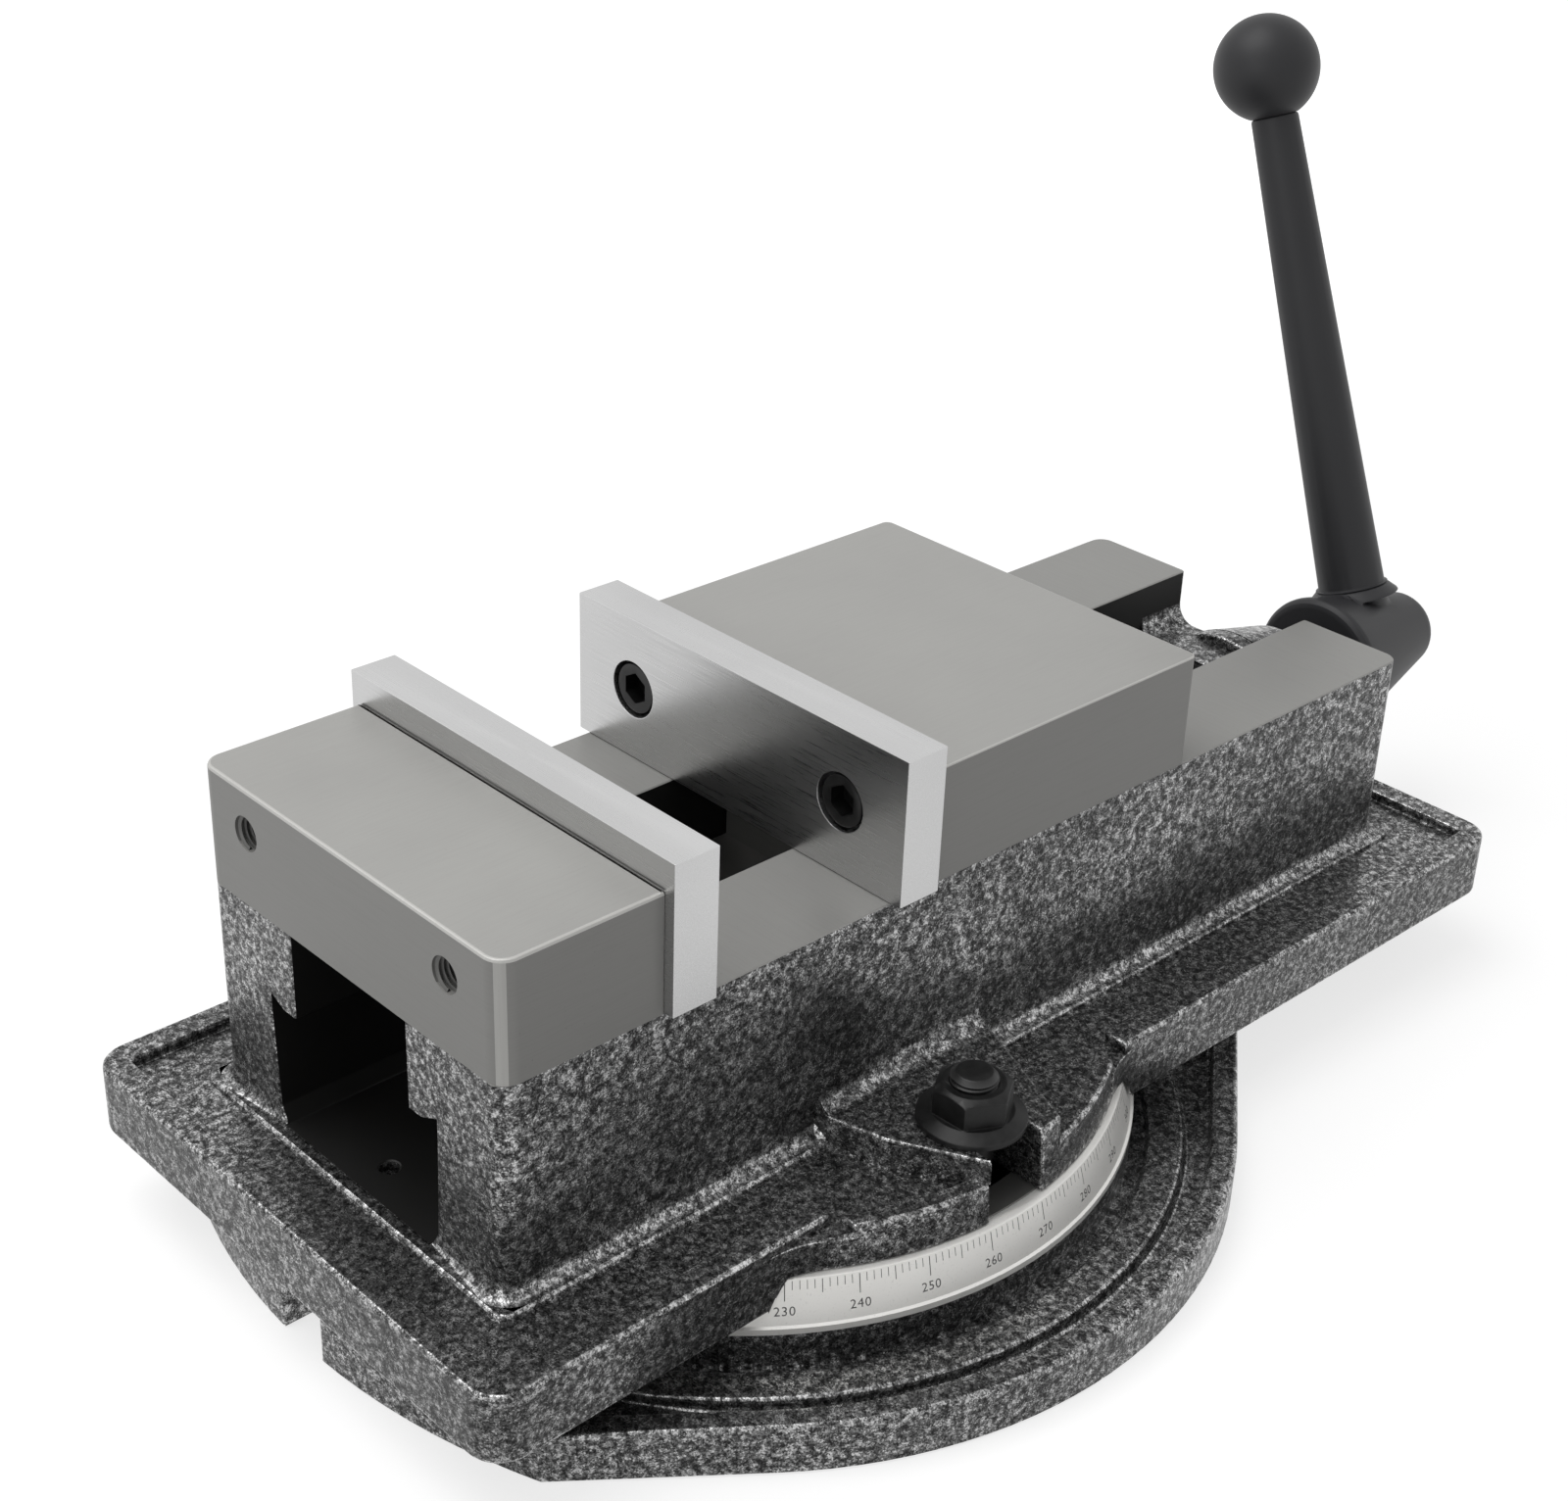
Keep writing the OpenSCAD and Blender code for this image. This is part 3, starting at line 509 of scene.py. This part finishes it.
def vise_body_cast():
    body = copy_of_node("vise_body", "vise_body_cast")

    def machined(p, _):
        in_slot = abs(p.y) < CHANNEL_HALF and p.z > 48 and JAW_BACK_X - 1 < p.x < WALL_X + 1
        turning_face = p.z < TURN_Z + 0.2 and hypot(p.x, p.y) < TURN_FACE_R - 1
        return p.z > WAY_Z - 4 or in_slot or turning_face

    def wall_foot(p, d):
        in_channel = abs(p.y) < CHANNEL_HALF + 3 and p.x < WALL_X
        return near(p.z, LEDGE_Z) and abs(d.z) < 0.1 and not in_channel

    def slender_tip(p, d):
        return TIP_BACK_X < p.x < TIP_FRONT_X and abs(p.y) > RIM_Y + 3 and p.z > LEDGE_Z + 2

    def along_slender_tip(p, d):
        return slender_tip(p, d) and abs(d.x) > 0.2

    def cove_end(p, d):
        in_cove = WALL_FOOT_Y - 1.2 < abs(p.y) < WALL_FOOT_Y + 5.3 and p.z > PAD_Z - 0.55
        return PAD_BACK_X - 2 < p.x < PAD_FRONT_X + 2 and in_cove

    def lug_root(p, d):
        at_root = LUG_ROOT_IN_X < abs(p.x) < LUG_ROOT_OUT_X
        return at_root and abs(p.y) > RIM_Y + 7 and LEDGE_Z - 8 < p.z < LEDGE_Z + 0.5

    def over_foot(p, d):
        return near(p.z, TURN_Z) and hypot(p.x, p.y) < FOOT_R and abs(p.y) < RIM_Y

    def low_sill(p, d):
        return abs(p.y) < CHANNEL_HALF and p.x < JAW_BACK_X and near(p.z, CHANNEL_FLOOR_Z)

    def cast_edge(p, d):
        apart = (machined, slender_tip, lug_root, low_sill, cove_end, over_foot)
        return not any(rule(p, d) for rule in apart)

    def beside_lugs(p):
        return not LUG_BACK_X < p.x < LUG_FRONT_X

    def rim_foot(p, d):
        at_rim = near(abs(p.y), RIM_Y) or near(p.x, RIM_BACK_X) or near(p.x, RIM_FRONT_X)
        return near(p.z, FLANGE_FLOOR_Z) and at_rim and beside_lugs(p)

    def rim(c, n):
        outside = abs(c.y) > RIM_Y - 0.5 or c.x < RIM_BACK_X - 0.5 or c.x > RIM_FRONT_X + 0.5
        return c.z < PAD_Z - 2 and outside and beside_lugs(c)

    def channel(c, n):
        inside = JAW_BACK_X + 0.5 < c.x < WALL_X - 0.5
        return abs(c.y) < CHANNEL_HALF and CHANNEL_FLOOR_Z - 0.5 < c.z < WAY_Z - 0.5 and inside

    coat(body, PAINT, WAYS, CHANNEL_SHADE, PAINT_EDGE_HIGHLIGHT, PAINT_RIM_SHADE)
    # The flange's rim and outer sides take the darker paint: painted shade.
    paint_faces(body, 4, rim)
    select_faces(body, lambda c, n: channel(c, n) and n.z > 0.9)
    bpy.ops.mesh.bisect(plane_co=((JAW_BACK_X - 0.4) * MM, 0, 0), plane_no=(1, 0, 0))
    leave_edit()
    # The fillet at the wall's foot and the rounded edges take the lighter edge paint: painted highlight.
    round_edges(body, 4.5, wall_foot, 5, convex=False, material=3)
    round_edges(body, 1.4, cast_edge, 3, 32, convex=True, material=3)
    round_edges(body, 1.0, along_slender_tip, 2, convex=True, material=3)
    round_edges(body, 0.4, lug_root, 2, convex=True, material=3)
    round_edges(body, 0.8, low_sill, 2, convex=True, material=3)
    round_edges(body, 1.0, rim_foot, 2, convex=False)
    round_edges(body, 0.4, machined, 1)
    paint_faces(body, 1, lambda c, n: c.z > WAY_Z - 0.45 and n.z > 0.5)
    # The inside of the channel is near black: painted shade.
    paint_faces(body, 2, channel)
    finish_mesh(body)
    return add_piece(body, "vise", "cast_paint", replaces=["vise_body"])


def jaw_block(node, body, edge):
    jaw = copy_of_node(node, node + "_block")
    coat(jaw, IRON, MILLED, IRON_EDGE_HIGHLIGHT)
    paint_faces(jaw, 1, lambda c, n: n.z < 0.7)
    # Faces of the rounded upright corners take the lighter top iron: painted highlight.
    paint_faces(jaw, 0, lambda c, n: abs(n.x) > 0.5 and abs(n.y) > 0.5 and abs(c.y) > 60)

    def outer_edge(p, d):
        in_screw_hole = hypot(abs(p.y) - PLATE_SCREW_Y, p.z - PLATE_SCREW_Z) < 10
        return p.z > WAY_Z + 0.2 and not in_screw_hole

    # The rounded top edges take the lighter edge iron: painted highlight.
    round_edges(jaw, edge, outer_edge, 2, material=2)
    finish_mesh(jaw)
    return add_piece(jaw, body, "ground_iron", replaces=[node])


def jaw_plate_piece(node, body):
    plate = copy_of_node(node, node + "_ground")
    round_edges(plate, 0.35, lambda p, d: True, 2)
    finish_mesh(plate)
    return add_piece(plate, body, "plate_steel", PLATE, replaces=[node])


swivel_base_cast()
vise_body_cast()
jaw_block("fixed_jaw", "vise", 1.1)
jaw_block("movable_jaw", "jaw", 0.6)
jaw_plate_piece("fixed_jaw_plate", "vise")
jaw_plate_piece("movable_jaw_plate", "jaw")


# Threads


def swept(obj, pitch, turns, hand, steps):
    """Sweeps a profile round the Z axis, one pitch up in each turn."""
    apply_modifier(obj, "SCREW", axis="Z", angle=2 * pi * hand, screw_offset=pitch * MM, iterations=turns,
                   steps=steps, render_steps=steps, use_merge_vertices=True, merge_threshold=0.001 * MM,
                   use_smooth_shade=True)
    work_on(obj, "EDIT")
    bpy.ops.mesh.select_all(action="SELECT")
    bpy.ops.mesh.remove_doubles(threshold=0.002 * MM)


def thread(name, start, end, crest_r, root_r, pitch, hand=1, steps=40):
    """A thread along +Z from start to end: the flank of one pitch, swept round and cut square."""
    flat = 0.18 * pitch
    z0 = start - 2 * pitch
    profile = [(root_r, 0, z0), (root_r, 0, z0 + 2 * flat), (crest_r, 0, z0 + 0.5 * pitch),
               (crest_r, 0, z0 + 0.5 * pitch + flat), (root_r, 0, z0 + pitch)]
    rod = wire(name, profile)
    swept(rod, pitch, int((end - start) / pitch) + 4, hand, steps)
    for z, side in ((start, -1), (end, 1)):
        bpy.ops.mesh.select_all(action="SELECT")
        bpy.ops.mesh.bisect(plane_co=(0, 0, z * MM), plane_no=(0, 0, side), use_fill=True,
                            clear_outer=True, clear_inner=False)
    bpy.ops.mesh.select_all(action="SELECT")
    bpy.ops.mesh.normals_make_consistent(inside=False)
    leave_edit()
    return rod


def thread_in_hole(name, start, end, hole_r, crest_r, pitch, steps=32):
    """The ridge of a thread inside a hole along +Z."""
    half = 0.42 * pitch
    ridge = wire(name, [(hole_r, 0, start), (hole_r, 0, start + 2 * half), (crest_r, 0, start + half + 0.1),
                        (crest_r, 0, start + half - 0.1)], closed=True)
    swept(ridge, pitch, int((end - start) / pitch) - 1, 1, steps)
    bpy.ops.mesh.normals_make_consistent(inside=False)
    leave_edit()
    return ridge


def lay_along_x(obj, z):
    """Turns a piece made along +Z to lie along +X at a height."""
    obj.data.transform(Matrix.Translation((0, 0, z * MM)) @ Matrix.Rotation(pi / 2, 4, "Y"))


def lead_screw_piece():
    rod = thread("lead_screw_thread", SCREW_BACK_X, SHOULDER_X - 3, SCREW_R, SCREW_R - 2.3, SCREW_PITCH,
                 hand=-1)
    lay_along_x(rod, SCREW_Z)
    end = copy_of_node("lead_screw", "lead_screw_end")
    work_on(end, "EDIT")
    bpy.ops.mesh.select_all(action="SELECT")
    bpy.ops.mesh.bisect(plane_co=((SHOULDER_X - 4) * MM, 0, 0), plane_no=(1, 0, 0), use_fill=True,
                        clear_inner=True)
    leave_edit()
    round_edges(end, 0.4, lambda p, d: p.x > SHOULDER_X - 1, 1)
    finish_mesh(end)
    finish_mesh(rod, 40, False)
    rod = joined([rod, end])
    return add_piece(rod, "screw", "turned_steel", STEEL, replaces=["lead_screw"])


def clamp_bolt_pieces():
    studs = copy_of_node("clamp_bolts", "clamp_bolts_threaded")
    work_on(studs, "EDIT")
    bpy.ops.mesh.select_all(action="SELECT")
    bpy.ops.mesh.bisect(plane_co=(0, 0, (PAD_Z + 2) * MM), plane_no=(0, 0, 1), use_fill=True,
                        clear_outer=True)
    leave_edit()
    round_edges(studs, 0.5, lambda p, d: p.z < 30, 1)
    finish_mesh(studs)
    pieces = [studs]
    for side in (-1, 1):
        shank = thread(f"stud_{side}", PAD_Z + 1, STUD_TOP_Z - 1.7, STUD_R, STUD_R - 1, STUD_PITCH)
        bpy.ops.mesh.primitive_cone_add(vertices=48, radius1=(STUD_R - 0.4) * MM, radius2=(STUD_R - 2) * MM,
                                        depth=1.8 * MM, location=(0, 0, (STUD_TOP_Z - 0.9) * MM))
        bpy.ops.object.transform_apply(location=True, rotation=True, scale=True)
        tip = bpy.context.object
        round_edges(tip, 0.35, lambda p, d: p.z > STUD_TOP_Z - 0.1, 2)
        for piece in (shank, tip):
            piece.data.transform(Matrix.Translation((0, side * CLAMP_R * MM, 0)))
            finish_mesh(piece, 40, False)
            pieces.append(piece)
    return add_piece(joined(pieces), "vise", "black_steel", BLACK, replaces=["clamp_bolts"])


def jaw_back_threads():
    """The open ends of the plate screws' threads in the back of the fixed jaw."""
    ridges = []
    for side in (-1, 1):
        ridge = thread_in_hole(f"ridge_{side}", 0.6, 13.5, PLATE_SCREW_R, PLATE_SCREW_R - 0.9,
                               PLATE_SCREW_PITCH)
        lay_along_x(ridge, PLATE_SCREW_Z)
        ridge.data.transform(Matrix.Translation((JAW_BACK_X * MM, side * PLATE_SCREW_Y * MM, 0)))
        finish_mesh(ridge, 40, False)
        ridges.append(ridge)
    threads = joined(ridges)
    threads.name = "jaw_back_threads"
    return add_piece(threads, "vise", "ground_iron", BORE)


lead_screw_piece()
clamp_bolt_pieces()
jaw_back_threads()


# Dial

# The zero line stands this many degrees off the vise's length
DIAL_ZERO = 4
MARK_DEPTH = 0.35
FIGURE_SIZE = 4.4
FIGURE_DOWN = 10.6


def on_dial(angle, down):
    """Place on the dial's cone, down millimetres below its top edge, facing outwards."""
    (low_r, low_z), (top_r, top_z) = DIAL_LOW, DIAL_TOP
    length = hypot(low_r - top_r, top_z - low_z)
    r = top_r + (low_r - top_r) * down / length
    z = top_z - (top_z - low_z) * down / length
    lean = atan2(low_r - top_r, top_z - low_z)
    turn = Matrix.Rotation(radians(angle), 4, "Z") @ Matrix.Translation((r * MM, 0, z * MM))
    return turn @ Matrix.Rotation(-lean, 4, "Y")


def mark_cutters():
    """Bars for the one, five and ten degree lines, each made once and copied round the dial."""
    bars = []
    lines = (
        (3.0, 0.22, [angle for angle in range(360) if angle % 5]),
        (4.6, 0.26, range(5, 360, 10)),
        (6.6, 0.3, range(0, 360, 10)),
    )
    for length, width, angles in lines:
        bar = block("bar", (MARK_DEPTH + 1, width, length))
        bar.data.transform(Matrix.Translation(((1 - MARK_DEPTH) / 2 * MM, 0, 0)))
        bars += [placed_copy(bar, on_dial(angle + DIAL_ZERO, length / 2 + 0.5)) for angle in angles]
        bpy.data.objects.remove(bar)
    return joined(bars)


def figure_cutters():
    """The figures under the ten degree lines."""
    cutters = []
    for number in range(0, 360, 10):
        bpy.ops.object.text_add()
        figure = bpy.context.object
        figure.data.body = str(number)
        figure.data.size = FIGURE_SIZE * MM
        figure.data.align_x = "CENTER"
        figure.data.align_y = "CENTER"
        figure.data.extrude = 0.5 * MM
        figure.data.resolution_u = 3
        figure.data.space_character = 1.1
        work_on(figure)
        bpy.ops.object.convert(target="MESH")
        figure = bpy.context.object
        face_out = Matrix(((0, 0, 1), (1, 0, 0), (0, 1, 0))).to_4x4()
        place = on_dial(number + DIAL_ZERO, FIGURE_DOWN) @ Matrix.Translation(((0.5 - MARK_DEPTH) * MM, 0, 0))
        figure.data.transform(place @ face_out)
        cutters.append(figure)
    return joined(cutters)


def engraved_dial():
    dial = copy_of_node("dial_ring", "dial_ring_engraved")
    coat(dial, DIAL, MARK)
    cutter = joined([figure_cutters(), mark_cutters()])
    coat(cutter, MARK)
    work_on(cutter, "EDIT")
    bpy.ops.mesh.select_all(action="SELECT")
    bpy.ops.mesh.remove_doubles(threshold=0.001 * MM)
    bpy.ops.mesh.normals_make_consistent(inside=False)
    leave_edit()
    apply_modifier(dial, "BOOLEAN", operation="DIFFERENCE", object=cutter, solver="EXACT",
                   use_self=False, material_mode="TRANSFER")
    bpy.data.objects.remove(cutter)
    finish_mesh(dial, 32, False)
    return add_piece(dial, "base", "dial_steel", replaces=["dial_ring"])


engraved_dial()


# Small steel pieces


def small_piece(node, body, slot, material, edge, least=25, rule=None):
    piece = copy_of_node(node, node + "_finished")
    round_edges(piece, edge, rule or (lambda p, d: True), 2, least)
    finish_mesh(piece)
    return add_piece(piece, body, slot, material, replaces=[node])


small_piece("clamp_nut_near", "nut_near", "black_steel", BLACK, 0.3)
small_piece("clamp_nut_far", "nut_far", "black_steel", BLACK, 0.3)
small_piece("fixed_plate_screws", "vise", "black_steel", BLACK, 0.3)
small_piece("movable_plate_screws", "jaw", "black_steel", BLACK, 0.3)
small_piece("screw_collar", "screw", "black_steel", BLACK, 0.5)
small_piece("handle", "crank", "handle_paint", HANDLE, 1.2, 20, lambda p, d: p.x > 325)

PLAIN = {
    "pivot_pin": STEEL, "fixed_jaw_keys": STEEL, "fixed_jaw_bolts": BLACK, "drive_nut": NUT,
    "half_ball": STEEL, "nut_set_screw": BLACK, "outer_race": STEEL, "ball_cage": BRASS,
    "inner_race": STEEL, "collar_set_screw": BLACK, "handle_ball": HANDLE,
}
for node, material in PLAIN.items():
    coat(frame["nodes"][node], material)


# Camera, lamps and floor


# The photograph's camera, worked out from the straight edges and circles of the vise
CAMERA_PLACE = (-0.498175, -0.535441, 0.542827)
CAMERA_HEADING = -43.9311
CAMERA_DOWN = 28.2315
CAMERA_ROLL = 2.0679
CAMERA_LENS = 57.341


def camera():
    data = bpy.data.cameras.new("camera")
    data.sensor_width = 36
    data.lens = CAMERA_LENS
    data.clip_start = 0.01
    data.clip_end = 50
    obj = bpy.data.objects.new("camera", data)
    bpy.context.scene.collection.objects.link(obj)
    heading = Matrix.Rotation(radians(CAMERA_HEADING), 4, "Z")
    tilt = Matrix.Rotation(radians(90 - CAMERA_DOWN), 4, "X")
    roll = Matrix.Rotation(radians(CAMERA_ROLL), 4, "Z")
    obj.matrix_world = Matrix.Translation(CAMERA_PLACE) @ heading @ tilt @ roll
    bpy.context.scene.camera = obj


def lamp(name, place, aim, size, watts):
    data = bpy.data.lights.new(name, "AREA")
    data.shape = "RECTANGLE"
    data.size = size
    data.size_y = size
    data.energy = watts
    obj = bpy.data.objects.new(name, data)
    bpy.context.scene.collection.objects.link(obj)
    obj.location = place
    obj.rotation_euler = (Vector(aim) - Vector(place)).to_track_quat("-Z", "Y").to_euler()


def seen_or_mirrored(tree):
    """1 for rays from the camera, from gloss and through glass."""
    path = tree.nodes.new("ShaderNodeLightPath")
    total = path.outputs["Is Camera Ray"]
    for name in ("Is Glossy Ray", "Is Transmission Ray"):
        node = tree.nodes.new("ShaderNodeMath")
        node.operation = "MAXIMUM"
        tree.links.new(total, node.inputs[0])
        tree.links.new(path.outputs[name], node.inputs[1])
        total = node.outputs[0]
    return total


def world():
    scene_world = bpy.data.worlds.new("studio")
    bpy.context.scene.world = scene_world
    scene_world.use_nodes = True
    tree = scene_world.node_tree
    shown = seen_or_mirrored(tree)
    strength = tree.nodes.new("ShaderNodeMapRange")
    strength.inputs["To Min"].default_value = 0.42
    strength.inputs["To Max"].default_value = 1.0
    tree.links.new(shown, strength.inputs["Value"])
    background = tree.nodes["Background"]
    background.inputs["Color"].default_value = (1, 1, 1, 1)
    tree.links.new(strength.outputs["Result"], background.inputs["Strength"])


def floor():
    """A pale floor that takes the shadow near the vise and turns white further out."""
    bpy.ops.mesh.primitive_plane_add(size=14, location=(0, 0, -0.0006))
    obj = bpy.context.object
    obj.name = "floor"
    material = bpy.data.materials.new("floor")
    material.use_nodes = True
    tree = material.node_tree
    tree.nodes.clear()
    out = tree.nodes.new("ShaderNodeOutputMaterial")
    plain = tree.nodes.new("ShaderNodeBsdfDiffuse")
    plain.inputs["Color"].default_value = (0.8, 0.8, 0.8, 1)
    dim = tree.nodes.new("ShaderNodeBsdfDiffuse")
    dim.inputs["Color"].default_value = (0.38, 0.38, 0.38, 1)
    glow = tree.nodes.new("ShaderNodeEmission")
    place = tree.nodes.new("ShaderNodeTexCoord")
    distance = tree.nodes.new("ShaderNodeVectorMath")
    distance.operation = "LENGTH"
    whiter = tree.nodes.new("ShaderNodeMapRange")
    for socket, value in (("From Min", 0.6), ("From Max", 1.6), ("To Min", 0.72), ("To Max", 1.05)):
        whiter.inputs[socket].default_value = value
    tree.links.new(place.outputs["Object"], distance.inputs[0])
    tree.links.new(distance.outputs["Value"], whiter.inputs["Value"])
    tree.links.new(whiter.outputs["Result"], glow.inputs["Strength"])
    both = tree.nodes.new("ShaderNodeAddShader")
    tree.links.new(dim.outputs[0], both.inputs[0])
    tree.links.new(glow.outputs[0], both.inputs[1])
    choose = tree.nodes.new("ShaderNodeMixShader")
    tree.links.new(seen_or_mirrored(tree), choose.inputs[0])
    tree.links.new(plain.outputs[0], choose.inputs[1])
    tree.links.new(both.outputs[0], choose.inputs[2])
    tree.links.new(choose.outputs[0], out.inputs["Surface"])
    obj.data.materials.append(material)


camera()
world()
floor()
lamp("key", (-0.5, 0.5, 2.0), (0.05, 0, 0.05), 1.6, 26)
lamp("side", (-1.9, -0.4, 0.9), (0, 0, 0.08), 1.0, 5)

view = bpy.context.scene.view_settings
view.view_transform = "Standard"
